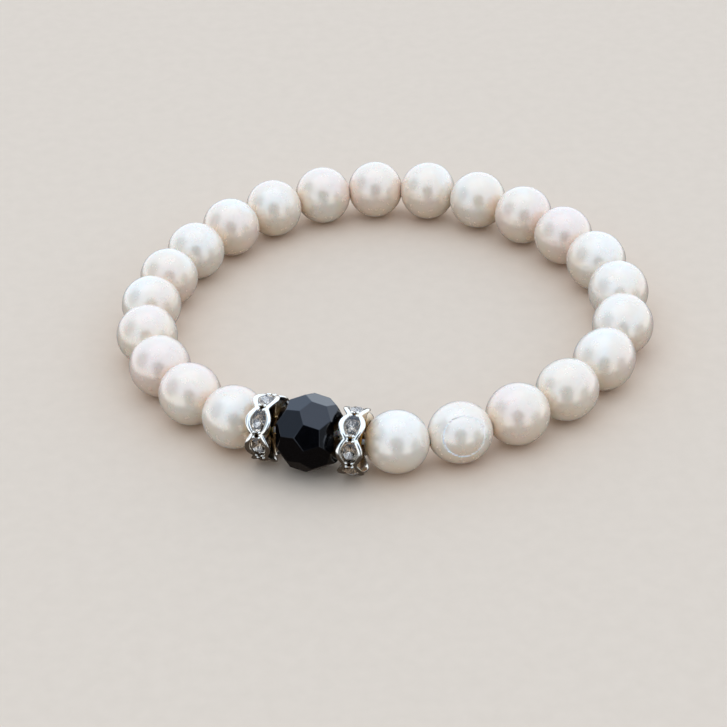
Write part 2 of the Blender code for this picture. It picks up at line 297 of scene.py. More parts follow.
@dataclass(frozen=True)
class FreshwaterNacre:
    """Freshwater pearl nacre, tumbled and polished.

    Thin layers of aragonite scatter light deep down, so the body glows, and the skin gives a wide satin
    shine with no hard highlight. The body is warm and drifts between rose, cream and white, and the shine on
    it is cool. The layers end in steps of a few thousandths of a millimetre, which are far too fine to show,
    so the grain is drawn at 0.3 mm.

    Attributes:
        name: The material's name.
        cream: The usual body colour.
        rose: The body colour at its pinkest.
        white: The body colour at its palest.
        line: The matt, powdery white of a growth line, also used for the painted highlight on one side of
            it.
        tint_patch: How far apart the tints are.
        grain: How far apart the layers' steps are drawn.
        grain_depth: How high they are.
        ripple: How far apart the soft ripples of the skin are.
        ripple_depth: How high they are.
    """

    name: str = "freshwater_nacre"
    cream: str = "#f9e2c6"
    rose: str = "#f9dfc8"
    white: str = "#f9e8d2"
    line: str = "#fffefb"
    tint_patch: float = 9.0 * MM
    grain: float = 0.30 * MM
    grain_depth: float = 0.008 * MM
    ripple: float = 1.1 * MM
    ripple_depth: float = 0.03 * MM

    def material(self) -> bpy.types.Material:
        """Build the nacre material."""
        material, tree = new_material(self.name)
        place = add_node(tree, "ShaderNodeTexCoord")
        tint = add_node(
            tree, "ShaderNodeTexNoise",
            inputs={"Scale": 1 / self.tint_patch, "Detail": 2.0, "Roughness": 0.5, "Distortion": 0.4},
            links={"Vector": (place, "Object")},
        )
        body = add_node(tree, "ShaderNodeValToRGB", links={"Fac": (tint, "Fac")})
        set_ramp(body, ((0.36, self.rose), (0.5, self.cream), (0.62, self.white)))
        # The growth line's white, with a painted highlight on one side of the ring.
        line = add_node(tree, "ShaderNodeAttribute", settings={"attribute_name": "growth_line_and_painted_highlight"})
        # A colour mix has its factor at socket 0, its colours at 6 and 7 and its result at output 2.
        tinted = add_node(
            tree, "ShaderNodeMix",
            settings={"data_type": "RGBA"},
            inputs={7: hex_colour(self.line)},
            links={0: (line, "Fac"), 6: (body, "Color")},
        )
        grain = add_node(
            tree, "ShaderNodeTexNoise",
            inputs={"Scale": 1 / self.grain, "Detail": 3.0, "Roughness": 0.6},
            links={"Vector": (place, "Object")},
        )
        ripple = add_node(
            tree, "ShaderNodeTexNoise",
            inputs={"Scale": 1 / self.ripple, "Detail": 2.0, "Roughness": 0.5},
            links={"Vector": (place, "Object")},
        )
        soft = add_node(
            tree, "ShaderNodeBump",
            inputs={"Strength": 0.25, "Distance": self.ripple_depth},
            links={"Height": (ripple, "Fac")},
        )
        fine = add_node(
            tree, "ShaderNodeBump",
            inputs={"Strength": 0.05, "Distance": self.grain_depth},
            links={"Height": (grain, "Fac"), "Normal": (soft, "Normal")},
        )
        polish = add_node(
            tree, "ShaderNodeMapRange",
            inputs={"From Min": 0.35, "From Max": 0.65, "To Min": 0.22, "To Max": 0.28},
            links={"Value": (ripple, "Fac")},
        )
        skin = add_node(
            tree, "ShaderNodeBsdfPrincipled",
            inputs={
                "Metallic": 0.22,
                "IOR": 1.62,
                "Subsurface Weight": 0.3,
                "Subsurface Radius": (1.0, 0.55, 0.4),
                "Subsurface Scale": 1.2 * MM,
                "Specular IOR Level": 0.6,
                "Specular Tint": hex_colour("#e9f0ff"),
                "Coat Weight": 0.12,
                "Coat Roughness": 0.16,
                "Coat IOR": 1.5,
                "Sheen Weight": 0.12,
                "Sheen Roughness": 0.4,
                "Sheen Tint": hex_colour("#eef3ff"),
            },
            links={
                "Base Color": (tinted, 2),
                "Roughness": (polish, "Result"),
                "Normal": (fine, "Normal"),
            },
        )
        add_node(tree, "ShaderNodeOutputMaterial", links={"Surface": (skin, "BSDF")})
        return material


@dataclass(frozen=True)
class PolishedBlackGlass:
    """Black pressed glass, cut and fire polished: deep black flats that mirror the room softly.

    Attributes:
        name: The material's name.
        body: Its colour where the polish is best.
        hazy: Its colour where the polish is duller.
        haze: How far apart the duller patches and the faint waves of the polish are.
    """

    name: str = "polished_black_glass"
    body: str = "#020203"
    hazy: str = "#050507"
    haze: float = 0.9 * MM

    def material(self) -> bpy.types.Material:
        """Build the black glass material."""
        material, tree = new_material(self.name)
        place = add_node(tree, "ShaderNodeTexCoord")
        haze = add_node(
            tree, "ShaderNodeTexNoise",
            inputs={"Scale": 1 / self.haze, "Detail": 4.0, "Roughness": 0.6},
            links={"Vector": (place, "Object")},
        )
        polish = add_node(
            tree, "ShaderNodeMapRange",
            inputs={"From Min": 0.3, "From Max": 0.7, "To Min": 0.05, "To Max": 0.13},
            links={"Value": (haze, "Fac")},
        )
        colour = add_node(tree, "ShaderNodeValToRGB", links={"Fac": (haze, "Fac")})
        set_ramp(colour, ((0.3, self.body), (0.8, self.hazy)))
        waves = add_node(
            tree, "ShaderNodeBump",
            inputs={"Strength": 0.12, "Distance": 0.01 * MM},
            links={"Height": (haze, "Fac")},
        )
        glass = add_node(
            tree, "ShaderNodeBsdfPrincipled",
            inputs={"IOR": 1.54, "Specular IOR Level": 0.58, "Specular Tint": hex_colour("#f6f5f8")},
            links={
                "Base Color": (colour, "Color"),
                "Roughness": (polish, "Result"),
                "Normal": (waves, "Normal"),
            },
        )
        add_node(tree, "ShaderNodeOutputMaterial", links={"Surface": (glass, "BSDF")})
        return material


@dataclass(frozen=True)
class SilverPlatedBrass:
    """Silver-plated stamped brass: bright on the rims, and warmer and duller in the hollows, where shade is
    painted in, and in patches of wear.

    Attributes:
        name: The material's name.
        bright: Its colour on the rims, away from the painted shade, and where wear keeps the plating
            polished.
        shaded_and_worn: Its colour in the hollows, as painted shade, and in patches where the plating is
            thin and tarnished.
        wear_patch: How far apart the patches of wear are.
    """

    name: str = "silver_plated_brass"
    bright: str = "#fbf2e3"
    shaded_and_worn: str = "#cba768"
    wear_patch: float = 0.8 * MM

    def material(self) -> bpy.types.Material:
        """Build the silver plate material."""
        material, tree = new_material(self.name)
        place = add_node(tree, "ShaderNodeTexCoord")
        wear = add_node(
            tree, "ShaderNodeTexNoise",
            inputs={"Scale": 1 / self.wear_patch, "Detail": 5.0, "Roughness": 0.62},
            links={"Vector": (place, "Object")},
        )
        # The rondelle's attribute paints shade into the hollows: it is 0 there and grows to 1 towards the
        # rims.
        rim = add_node(tree, "ShaderNodeAttribute", settings={"attribute_name": "hollow_shade_fade"})
        uneven = add_node(
            tree, "ShaderNodeMath",
            settings={"operation": "MULTIPLY_ADD"},
            inputs={1: 0.45, 2: -0.2},
            links={0: (wear, "Fac")},
        )
        # The painted hollow shade, with the patches of wear from the noise added to it.
        hollow_shade_fade = add_node(
            tree, "ShaderNodeMath",
            settings={"operation": "ADD", "use_clamp": True},
            links={0: (rim, "Fac"), 1: (uneven, "Value")},
        )
        colour = add_node(tree, "ShaderNodeValToRGB", links={"Fac": (hollow_shade_fade, "Value")})
        set_ramp(colour, ((0.0, self.shaded_and_worn), (0.75, self.bright)))
        polish = add_node(
            tree, "ShaderNodeMapRange",
            inputs={"From Min": 0.3, "From Max": 0.7, "To Min": 0.10, "To Max": 0.24},
            links={"Value": (wear, "Fac")},
        )
        dents = add_node(
            tree, "ShaderNodeBump",
            inputs={"Strength": 0.3, "Distance": 0.015 * MM},
            links={"Height": (wear, "Fac")},
        )
        metal = add_node(
            tree, "ShaderNodeBsdfPrincipled",
            inputs={"Metallic": 1.0},
            links={
                "Base Color": (colour, "Color"),
                "Roughness": (polish, "Result"),
                "Normal": (dents, "Normal"),
            },
        )
        add_node(tree, "ShaderNodeOutputMaterial", links={"Surface": (metal, "BSDF")})
        return material


@dataclass(frozen=True)
class LeadCrystal:
    """Machine-cut lead crystal: clear, bright facets with a little wear on their polish.

    Attributes:
        name: The material's name.
        body: The faint warmth of the glass.
        smear: How far apart the scuffed patches of the polish are.
    """

    name: str = "lead_crystal"
    body: str = "#fffaf3"
    smear: float = 0.7 * MM

    def material(self) -> bpy.types.Material:
        """Build the clear crystal material."""
        material, tree = new_material(self.name)
        place = add_node(tree, "ShaderNodeTexCoord")
        smear = add_node(
            tree, "ShaderNodeTexNoise",
            inputs={"Scale": 1 / self.smear, "Detail": 3.0},
            links={"Vector": (place, "Object")},
        )
        polish = add_node(
            tree, "ShaderNodeMapRange",
            inputs={"From Min": 0.4, "From Max": 0.75, "To Min": 0.0, "To Max": 0.05},
            links={"Value": (smear, "Fac")},
        )
        crystal = add_node(
            tree, "ShaderNodeBsdfPrincipled",
            inputs={"Base Color": hex_colour(self.body), "IOR": 1.56, "Transmission Weight": 1.0},
            links={"Roughness": (polish, "Result")},
        )
        add_node(tree, "ShaderNodeOutputMaterial", links={"Surface": (crystal, "BSDF")})
        return material


@dataclass(frozen=True)
class MirrorFoil:
    """Silver mirror foil on the back of a crystal: it throws the light back out through the facets, and each
    facet is painted lighter or darker by turns as a painted sparkle.

    Attributes:
        name: The material's name.
        silver: Its colour where it is bright, and on the facets painted light.
        aged_and_shaded: Its colour where it has spots, and the painted shade of the facets painted dark.
        spots: How far apart the spots are.
    """

    name: str = "mirror_foil"
    silver: str = "#fff4e6"
    aged_and_shaded: str = "#857c74"
    spots: float = 0.5 * MM

    def material(self) -> bpy.types.Material:
        """Build the foil material."""
        material, tree = new_material(self.name)
        place = add_node(tree, "ShaderNodeTexCoord")
        spots = add_node(
            tree, "ShaderNodeTexNoise",
            inputs={"Scale": 1 / self.spots, "Detail": 3.0},
            links={"Vector": (place, "Object")},
        )
        # Each facet carries a painted sparkle that makes its foil lighter or darker, on top of the spots.
        facet = add_node(tree, "ShaderNodeAttribute", settings={"attribute_name": "painted_facet_sparkle"})
        shine = add_node(
            tree, "ShaderNodeMath",
            settings={"operation": "MULTIPLY_ADD", "use_clamp": True},
            inputs={1: 0.9},
            links={0: (spots, "Fac"), 2: (facet, "Fac")},
        )
        colour = add_node(tree, "ShaderNodeValToRGB", links={"Fac": (shine, "Value")})
        set_ramp(colour, ((0.35, self.aged_and_shaded), (0.9, self.silver)))
        foil = add_node(
            tree, "ShaderNodeBsdfPrincipled",
            inputs={"Metallic": 1.0, "Roughness": 0.06},
            links={"Base Color": (colour, "Color")},
        )
        add_node(tree, "ShaderNodeOutputMaterial", links={"Surface": (foil, "BSDF")})
        return material


@dataclass(frozen=True)
class StretchElastic:
    """Clear-white polyurethane stretch cord, extruded: soft, slightly see-through and faintly ribbed.

    Attributes:
        name: The material's name.
        body: Its colour on the ribs.
        hollow: Its colour between them.
        rib: How far apart they are.
    """

    name: str = "stretch_elastic"
    body: str = "#e9e6e0"
    hollow: str = "#d9d5cd"
    rib: float = 0.25 * MM

    def material(self) -> bpy.types.Material:
        """Build the elastic material."""
        material, tree = new_material(self.name)
        place = add_node(tree, "ShaderNodeTexCoord")
        rib = add_node(
            tree, "ShaderNodeTexNoise",
            inputs={"Scale": 1 / self.rib, "Detail": 2.0},
            links={"Vector": (place, "Object")},
        )
        colour = add_node(tree, "ShaderNodeValToRGB", links={"Fac": (rib, "Fac")})
        set_ramp(colour, ((0.3, self.hollow), (0.7, self.body)))
        bumps = add_node(
            tree, "ShaderNodeBump",
            inputs={"Strength": 0.3, "Distance": 0.02 * MM},
            links={"Height": (rib, "Fac")},
        )
        cord = add_node(
            tree, "ShaderNodeBsdfPrincipled",
            inputs={"Roughness": 0.42, "IOR": 1.5, "Subsurface Weight": 0.3, "Subsurface Scale": 0.3 * MM},
            links={"Base Color": (colour, "Color"), "Normal": (bumps, "Normal")},
        )
        add_node(tree, "ShaderNodeOutputMaterial", links={"Surface": (cord, "BSDF")})
        return material


@dataclass(frozen=True)
class PaleStudioFloor:
    """Matt pale studio paper: even, with a faint fibre mottle that shows only close up.

    Attributes:
        name: The material's name.
        body: The paper's colour.
        mottle: Its colour where the fibres lie thick.
        fibre: How far apart the mottles are.
    """

    name: str = "pale_studio_paper"
    body: str = "#e2c9ae"
    mottle: str = "#dfc6ab"
    fibre: float = 2.0 * MM

    def material(self) -> bpy.types.Material:
        """Build the floor material."""
        material, tree = new_material(self.name)
        place = add_node(tree, "ShaderNodeTexCoord")
        fibre = add_node(
            tree, "ShaderNodeTexNoise",
            inputs={"Scale": 1 / self.fibre, "Detail": 4.0},
            links={"Vector": (place, "Object")},
        )
        colour = add_node(tree, "ShaderNodeValToRGB", links={"Fac": (fibre, "Fac")})
        set_ramp(colour, ((0.3, self.mottle), (0.7, self.body)))
        paper = add_node(
            tree, "ShaderNodeBsdfPrincipled",
            inputs={"Roughness": 0.85, "Specular IOR Level": 0.2},
            links={"Base Color": (colour, "Color")},
        )
        add_node(tree, "ShaderNodeOutputMaterial", links={"Surface": (paper, "BSDF")})
        return material


@dataclass(frozen=True)
class GrowthRing:
    """A fine growth line that runs round one pearl like a low step, its inside a little deeper.

    Attributes:
        pearl: The node that has it.
        facing: The direction that the ring faces.
        share: The ring's radius as a share of the pearl's.
        width: How wide its step is.
        depth: How far its inside lies below the skin round it.
        highlighted_side: The direction, from its middle, in which the line is painted whitest, as a painted
            highlight.
        faintest: How white the line is on its other side, from 0 to 1.
        crease: The angle, in degrees, past which its step keeps a sharp edge.
    """

    pearl: str = "pearl_02"
    facing: Vector = field(default_factory=lambda: Vector((0.118, -0.884, 0.417)).normalized())
    share: float = 0.65
    width: float = 0.17 * MM
    depth: float = 0.10 * MM
    highlighted_side: Vector = field(default_factory=lambda: Vector((-0.60, 0.10, -0.79)).normalized())
    faintest: float = 0.2
    crease: float = 14.0


@dataclass
class Pearl:
    """One pearl of the string.

    Attributes:
        node: Its CAD node.
        place: The matrix from its own frame, with Z along the drill hole, to the bracelet's.
        across: Its diameter across the hole.
        along: Its length along the hole, without the drilled ends.
    """

    node: str
    place: Matrix
    across: float
    along: float

    @classmethod
    def measured(cls, node: bpy.types.Object, axis: Vector, hole: float) -> Pearl:
        """Measure a pearl from its CAD node.

        Args:
            node: The pearl's node.
            axis: The direction of its drill hole.
            hole: The hole's diameter.

        Returns:
            The measured pearl.
        """
        points = node_points(node)
        centre = middle(points)
        z = axis.normalized()
        along = 2 * max(abs((point - centre).dot(z)) for point in points)
        across = 2 * max((point - centre - z * (point - centre).dot(z)).length for point in points)
        full = along / math.cos(math.asin(hole / across))
        return cls(node.name, frame_on(z, Vector((0, 0, 1)), centre), across, full)


@dataclass
class PearlString:
    """The pearls of the bracelet, all from one drilled model.

    Attributes:
        thread_hole: The drill hole's diameter at the skin, where it shows.
        typical: A pearl's usual diameter.
        sides: How many faces the model has round its axis.
        bands: How many bands of faces it has from pole to pole.
        swell: How far the skin rises and falls from a true ball.
        swell_patch: How wide one swelling is.
        contact: How much longer each pearl is than its solid, so that neighbours touch.
        ring: The ring on one pearl.
        nacre: The pearls' finish.
    """

    thread_hole: float = 0.80 * MM
    typical: float = 7.9 * MM
    sides: int = 64
    bands: int = 40
    swell: float = 0.10 * MM
    swell_patch: float = 4.2 * MM
    contact: float = 0.17 * MM
    ring: GrowthRing = field(default_factory=GrowthRing)
    nacre: FreshwaterNacre = field(default_factory=FreshwaterNacre)

    def drilled_ball(self) -> bpy.types.Object:
        """Model a ball of diameter 1 with a hole along Z.

        Returns:
            The model.
        """
        deselect_all()
        bpy.ops.mesh.primitive_uv_sphere_add(segments=self.sides, ring_count=self.bands, radius=0.5)
        model = bpy.context.object
        model.name = "pearl_model"
        band = math.pi / self.bands
        # The caps at the poles end at inner, and the next band of faces lies past outer.
        inner, outer = 0.5 * math.sin(band), 0.5 * math.sin(1.5 * band)
        widen = self.thread_hole / self.typical / (2 * inner)
        start_edit(model, "FACE")
        pick_faces(model, lambda centre: math.hypot(centre.x, centre.y) < inner)
        bpy.ops.mesh.delete(type="FACE")
        bpy.ops.mesh.select_mode(type="VERT")
        pick_vertices(model, lambda place: math.hypot(place.x, place.y) < outer)
        bpy.ops.transform.resize(value=(widen, widen, 1.0), center_override=(0.0, 0.0, 0.0))
        bpy.ops.mesh.bridge_edge_loops()
        bpy.ops.mesh.select_all(action="SELECT")
        bpy.ops.mesh.normals_make_consistent(inside=False)
        bpy.ops.object.mode_set(mode="OBJECT")
        bpy.ops.object.shade_smooth_by_angle(angle=math.radians(50))
        return model

    def swelling(self) -> bpy.types.Texture:
        """Make the slow swell that turns a true ball into a grown pearl."""
        texture = bpy.data.textures.new("pearl_swell", type="CLOUDS")
        texture.noise_scale = self.swell_patch
        texture.noise_depth = 1
        return texture

    def sink_ring(self, piece: bpy.types.Object, centre: Vector, radius: float) -> None:
        """Sink the skin just inside the growth ring of a pearl in its place, and whiten the ring, with a
        painted highlight on one side.

        Args:
            piece: The pearl.
            centre: The pearl's centre.
            radius: The pearl's radius.
        """
        facing = self.ring.facing
        angle = math.asin(self.ring.share)
        spread = self.ring.width / radius / 2
        # Four cuts round the ring: the step lies between the middle two, and the others hold its edges.
        start_edit(piece)
        for turn in (angle - 2 * spread, angle - spread, angle + spread, angle + 2 * spread):
            bpy.ops.mesh.select_all(action="SELECT")
            bpy.ops.mesh.bisect(plane_co=centre + facing * radius * math.cos(turn), plane_no=facing)
        inside = radius * math.cos(angle)
        count = pick_vertices(piece, lambda place: (place - centre).dot(facing) > inside)
        log.info("growth ring: %d points inside it", count)
        bpy.ops.transform.shrink_fatten(value=-self.ring.depth)
        # The sunk skin is drawn out again from its middle, so that it is deepest just inside the ring.
        top = 0.30 * MM
        pick_vertices(piece, lambda place: (place - centre - facing * radius).length < top)
        bpy.ops.transform.shrink_fatten(
            value=self.ring.depth, use_proportional_edit=True,
            proportional_edit_falloff="INVERSE_SQUARE", proportional_size=radius * self.ring.share)
        bpy.ops.object.mode_set(mode="OBJECT")
        bpy.ops.object.shade_smooth_by_angle(angle=math.radians(self.ring.crease))
        line = piece.data.attributes.new("growth_line_and_painted_highlight", "FLOAT", "FACE")
        # The faces of the step, with a little over for rounding, carry the line, which is painted whitest on
        # one side as a painted highlight.
        reach = 1.05 * spread
        for face, value in zip(piece.data.polygons, line.data):
            way = (face.center - centre).normalized()
            # A painted highlight: the line grows whiter towards one side of the ring.
            painted_highlight = max(0.0, (way - facing).normalized().dot(self.ring.highlighted_side))
            on_line = abs(way.angle(facing) - angle) < reach
            value.value = on_line * (self.ring.faintest + (1 - self.ring.faintest) * painted_highlight)

    def build(self, pearls: Sequence[Pearl]) -> list[bpy.types.Object]:
        """Build and dress all the pearls.

        Args:
            pearls: The measured pearls, in their order on the string.

        Returns:
            The finished pearls.
        """
        model = self.drilled_ball()
        texture = self.swelling()
        material = self.nacre.material()
        pieces = []
        for pearl in pearls:
            size = Matrix.Diagonal((pearl.across, pearl.across, pearl.along + self.contact, 1.0))
            piece = copy_piece(model, f"{pearl.node}_nacre", pearl.place @ size)
            ringed = pearl.node == self.ring.pearl
            if ringed:
                finer = piece.modifiers.new("finer", "SUBSURF")
                finer.levels = finer.render_levels = 1
            swell = piece.modifiers.new("swell", "DISPLACE")
            swell.texture = texture
            swell.texture_coords = "LOCAL"
            swell.strength = self.swell
            swell.mid_level = 0.5
            apply_modifiers(piece)
            if ringed:
                self.sink_ring(piece, pearl.place.translation, pearl.across / 2)
            piece.data.materials.append(material)
            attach(piece, "root")
            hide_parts(pearl.node)
            pieces.append(piece)
        remove_model(model)
        return pieces


@dataclass
class BlackGlassBead:
    """The faceted black bead, cut as the CAD solid is, with its edges fire polished.

    Attributes:
        node: Its CAD node.
        edge: How wide the softened edge between two facets is.
        glass: Its finish.
    """

    node: str = "black_bead"
    edge: float = 0.05 * MM
    glass: PolishedBlackGlass = field(default_factory=PolishedBlackGlass)

    def build(self, node: bpy.types.Object) -> bpy.types.Object:
        """Build and dress the bead.

        Args:
            node: The bead's CAD node.

        Returns:
            The finished bead.
        """
        piece = copy_piece(node, "black_bead_glass", Matrix.Identity(4))
        piece.data.materials.clear()
        start_edit(piece)
        bpy.ops.mesh.select_all(action="SELECT")
        bpy.ops.mesh.remove_doubles(threshold=0.002 * MM)
        bpy.ops.mesh.dissolve_limited(angle_limit=math.radians(2.0))
        bpy.ops.object.mode_set(mode="OBJECT")
        bevel = piece.modifiers.new("fire_polish", "BEVEL")
        bevel.width = self.edge
        bevel.segments = 2
        bevel.limit_method = "ANGLE"
        bevel.angle_limit = math.radians(12)
        apply_modifiers(piece)
        bpy.ops.object.shade_smooth_by_angle(angle=math.radians(10))
        piece.data.materials.append(self.glass.material())
        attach(piece, "root")
        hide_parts(self.node)
        return piece


@dataclass(frozen=True)
class RimRow:
    """One line of points that runs round a rondelle, waving in and out with its crystals.

    Attributes:
        radius: Distance from the drill hole's axis, at the middle of a crystal.
        height: Distance from the rondelle's middle plane there.
        pinch_radius: The same radius between two crystals, where the rims pinch together.
        pinch_height: The same height there.
    """

    radius: float
    height: float
    pinch_radius: float
    pinch_height: float

    def stretch(self, openness: float) -> tuple[float, float, float]:
        """Give the resize that takes this row's points to their place where the rims are partly open."""
        radius = self.pinch_radius + (self.radius - self.pinch_radius) * (1 - (1 - openness) ** 2)
        height = self.pinch_height + (self.height - self.pinch_height) * openness
        return radius / self.radius, radius / self.radius, height / self.height


@dataclass
class CutCrystal:
    """An oval brilliant with a table, its point inwards and foiled.

    Its own frame has Z out of the table, Y along its length and the girdle's middle at the origin.

    Attributes:
        length: Along the girdle's longer side.
        width: Along its shorter side.
        crown: From the girdle up to the table.
        girdle: How thick the girdle is.
        pavilion: From the girdle down to the point.
        painted_flashes: How much lighter or darker each facet's foil is painted, by turns round the crystal,
            as a painted sparkle.
        crystal: The finish of its crown.
        foil: The finish of its back.
    """

    length: float = 2.95 * MM
    width: float = 2.20 * MM
    crown: float = 0.38 * MM
    girdle: float = 0.10 * MM
    pavilion: float = 0.80 * MM
    painted_flashes: tuple[float, ...] = (0.65, -0.2, 0.45, 0.05)
    crystal: LeadCrystal = field(default_factory=LeadCrystal)
    foil: MirrorFoil = field(default_factory=MirrorFoil)

    def rows(self) -> list[tuple[float, float, int, float]]:
        """List the rings of corners from table to point: share of the girdle, height, corners and turn."""
        half = self.girdle / 2
        return [
            (0.44, half + self.crown, 8, 0.0),
            (0.74, half + self.crown * 0.585, 8, HALF_FACET),
            (1.00, half, 16, 0.0),
            (1.00, -half, 16, 0.0),
            (0.62, -half - self.pavilion * 0.60, 8, HALF_FACET),
            (0.05, -half - self.pavilion, 8, 0.0),
        ]

    def model(self) -> bpy.types.Object:
        """Cut one crystal.

        Returns:
            The crystal, in its own frame, with glass on its crown and foil on its back.
        """
        deselect_all()
        rows = self.rows()
        share, height, corners, turn = rows[0]
        bpy.ops.mesh.primitive_circle_add(
            vertices=corners, radius=share * self.width / 2, location=(0, 0, height), rotation=(0, 0, turn))
        bpy.ops.object.transform_apply(location=True, rotation=True, scale=True)
        piece = bpy.context.object
        piece.name = "crystal_model"
        start_edit(piece)
        for share, height, corners, turn in rows[1:]:
            bpy.ops.mesh.primitive_circle_add(
                vertices=corners, radius=share * self.width / 2,
                location=(0, 0, height), rotation=(0, 0, turn))
        bpy.ops.mesh.select_all(action="SELECT")
        bpy.ops.transform.resize(value=(1.0, self.length / self.width, 1.0), center_override=(0, 0, 0))
        bpy.ops.mesh.convex_hull(join_triangles=False)
        bpy.ops.mesh.dissolve_limited(angle_limit=math.radians(1.0))
        bpy.ops.object.mode_set(mode="OBJECT")
        piece.data.materials.append(self.crystal.material())
        piece.data.materials.append(self.foil.material())
        # Each facet gets a painted sparkle that makes its foil lighter or darker, by turns round the crystal
        # and between the pavilion's two tiers.
        shine = piece.data.attributes.new("painted_facet_sparkle", "FLOAT", "FACE")
        for face, value in zip(piece.data.polygons, shine.data):
            face.material_index = int(face.normal.z < -0.2)  # the foil, on all that faces inwards
            turn = round(math.atan2(face.center.y, face.center.x) / HALF_FACET)
            lower = int(face.center.z < -0.5 * self.pavilion)
            value.value = self.painted_flashes[(turn + lower) % len(self.painted_flashes)]
        return piece


@dataclass
class Rondelle:
    """A stamped silver rondelle whose wavy rims open round seven foiled crystals.

    Its own frame has Z along the drill hole and X through the middle of the first crystal.

    Attributes:
        crystals: How many crystals it has.
        steps: How many steps of the spin make the stretch of one crystal.
        radius: To the rims, at the middle of a crystal.
        half_thickness: From the middle plane to a rim's crest there.
        half_pinch: The same between two crystals.
        pinch_depth: How much less the radius is there.
        wave: The power of the cosine by which the rims open; above 1 they stay pinched for longer.
        rim: How wide a rim is.
        shade_fade_from: The share of the radius from which the shade painted into the hollows starts to
            fade.
        shade_fade_over: The share of the radius over which that painted shade fades out fully.
        hole: The drill hole's diameter.
        hub: The hub's diameter.
        half_hub: From the middle plane to the hub's face.
        hub_bevel: How far the hub's edges are rounded.
        crystal_sink: From the rims' radius in to the crystals' girdles.
        prong: The radius of a prong's bead.
        prong_gap: How far the prongs are from the middle between two crystals, round the rim.
        prong_height: How far they are from the middle plane.
        crystal: The crystal that it is set with.
        plate: Its finish.
    """

    crystals: int = 7
    steps: int = 20
    radius: float = 4.10 * MM
    half_thickness: float = 1.65 * MM
    half_pinch: float = 0.92 * MM
    pinch_depth: float = 0.15 * MM
    wave: float = 1.15
    rim: float = 0.66 * MM
    shade_fade_from: float = 0.6
    shade_fade_over: float = 0.38
    hole: float = DRILL_HOLE
    hub: float = 2.90 * MM
    half_hub: float = 1.00 * MM
    hub_bevel: float = 0.08 * MM
    crystal_sink: float = 0.40 * MM
    prong: float = 0.21 * MM
    prong_gap: float = 0.34 * MM
    prong_height: float = 0.36 * MM
    crystal: CutCrystal = field(default_factory=CutCrystal)
    plate: SilverPlatedBrass = field(default_factory=SilverPlatedBrass)

    def sector(self) -> float:
        """Give the angle that one crystal takes up round the rondelle."""
        return 2 * math.pi / self.crystals

    def hub_points(self) -> list[tuple[float, float]]:
        """List the hub's outline from the hole outwards: radius and height of each point."""
        inner, outer, top, bevel = self.hole / 2, self.hub / 2, self.half_hub, self.hub_bevel
        return [
            (inner, top - bevel * 0.75),
            (inner + bevel * 0.75, top),
            (outer - bevel, top),
            (outer, top - bevel),
            (outer + bevel * 1.875, top - bevel * 2),
        ]

    def rim_rows(self) -> list[RimRow]:
        """List the rows of points of one rim, from the dish round the rim's crest to the crystals' bed."""
        outer, top, wall = self.radius, self.half_thickness, self.rim
        pinch, low = outer - self.pinch_depth, self.half_pinch
        return [
            RimRow(outer * 0.60, top * 0.66, outer * 0.60, low * 1.00),
            RimRow(outer * 0.82, top * 0.78, outer * 0.82, low * 0.84),
            RimRow(outer * 0.90, top * 0.90, pinch * 0.90, low * 0.86),
            RimRow(outer * 0.935, top * 0.985, pinch * 0.935, low * 0.98),
            RimRow(outer * 0.965, top, pinch * 0.965, low),
            RimRow(outer * 0.988, top - wall * 0.09, pinch * 0.988, low - wall * 0.07),
            RimRow(outer * 0.999, top - wall * 0.30, pinch * 0.999, low - wall * 0.22),
            RimRow(outer, top - wall * 0.58, pinch, low - wall * 0.46),
            RimRow(outer * 0.994, top - wall * 0.84, pinch * 0.997, low - wall * 0.68),
            RimRow(outer * 0.975, top - wall * 0.98, pinch * 0.988, low - wall * 0.82),
            RimRow(outer * 0.95, top - wall * 1.05, pinch * 0.98, low * 0.26),
            RimRow(outer * 0.86, top - wall * 1.20, pinch * 0.96, low * 0.22),
            RimRow(outer * 0.56, top * 0.14, pinch * 0.92, low * 0.14),
        ]

    def draw_profile(self, points: Sequence[tuple[float, float]]) -> bpy.types.Object:
        """Draw a closed outline in the XZ plane, from one point extruded along it.

        Args:
            points: Radius and height of each corner.

        Returns:
            The outline, open in edit mode.
        """
        deselect_all()
        bpy.ops.mesh.primitive_plane_add(size=MM)
        piece = bpy.context.object
        start_edit(piece)
        bpy.ops.mesh.select_all(action="SELECT")
        bpy.ops.mesh.merge(type="CENTER")
        bpy.ops.transform.translate(value=(points[0][0], 0.0, points[0][1]))
        for (radius, height), (next_radius, next_height) in zip(points, points[1:]):
            step = (next_radius - radius, 0.0, next_height - height)
            bpy.ops.mesh.extrude_region_move(TRANSFORM_OT_translate={"value": step})
        ends = {points[0], points[-1]}
        near = 0.001 * MM
        pick_vertices(piece, lambda p: any(abs(p.x - r) < near and abs(p.z - h) < near for r, h in ends))
        bpy.ops.mesh.edge_face_add()
        return piece

    def open_rims(self, piece: bpy.types.Object) -> None:
        """Wave the rims of one sector in and out round its crystal.

        Args:
            piece: The sector, open in edit mode, with its rows still straight.
        """
        pitch = self.sector() / self.steps
        near = 0.002 * MM  # well under the distance between two rows
        for row in reversed(self.rim_rows()):
            for step in range(self.steps + 1):
                turn = pitch * (step - self.steps / 2)
                openness = abs(math.cos(math.pi * (step / self.steps - 0.5))) ** self.wave
                pick_vertices(piece, lambda p: (
                    abs(math.hypot(p.x, p.y) - row.radius) < near
                    and abs(abs(p.z) - row.height) < near
                    and abs(math.atan2(p.y, p.x) - turn) < pitch / 4))
                bpy.ops.transform.resize(value=row.stretch(openness), center_override=(0.0, 0.0, 0.0))

    def add_prongs(self) -> None:
        """Add the four little beads of metal that hold the ends of one crystal."""
        reach = self.radius - self.pinch_depth
        turn = self.sector() / 2 - self.prong_gap / self.radius
        for side in (-1, 1):
            for height in (-self.prong_height, self.prong_height):
                bpy.ops.mesh.primitive_uv_sphere_add(
                    segments=12, ring_count=8, radius=self.prong,
                    location=(reach * math.cos(turn), side * reach * math.sin(turn), height))

